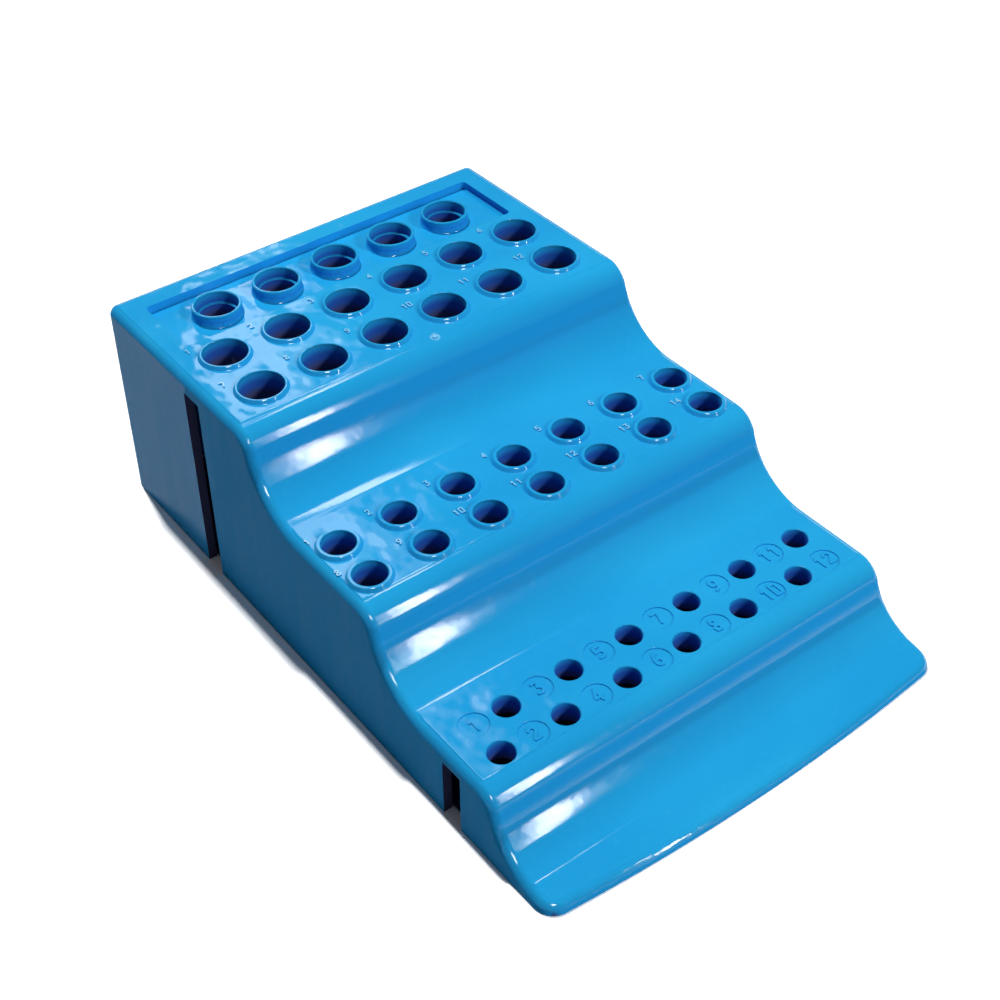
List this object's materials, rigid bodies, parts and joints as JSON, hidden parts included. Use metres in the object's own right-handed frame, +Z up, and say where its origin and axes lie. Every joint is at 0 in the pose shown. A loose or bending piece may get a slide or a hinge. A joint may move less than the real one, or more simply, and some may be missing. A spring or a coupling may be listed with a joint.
{
  "type": "microcentrifuge tube rack",
  "caption": "Stepped one-piece moulded rack holding microcentrifuge tubes of three sizes on three terraces, hollow and open underneath.",
  "frame": {"origin": "middle of the footprint, on the surface the rack stands on", "axes": "+X along the rows of holes, +Y from the low front lip to the high back wall, +Z up"},
  "size_m": [0.115, 0.1836, 0.0575],
  "materials": {
    "blue_plastic": "gloss"
  },
  "bodies": {
    "root": {"rack_body": "blue_plastic"}
  },
  "joints": []
}
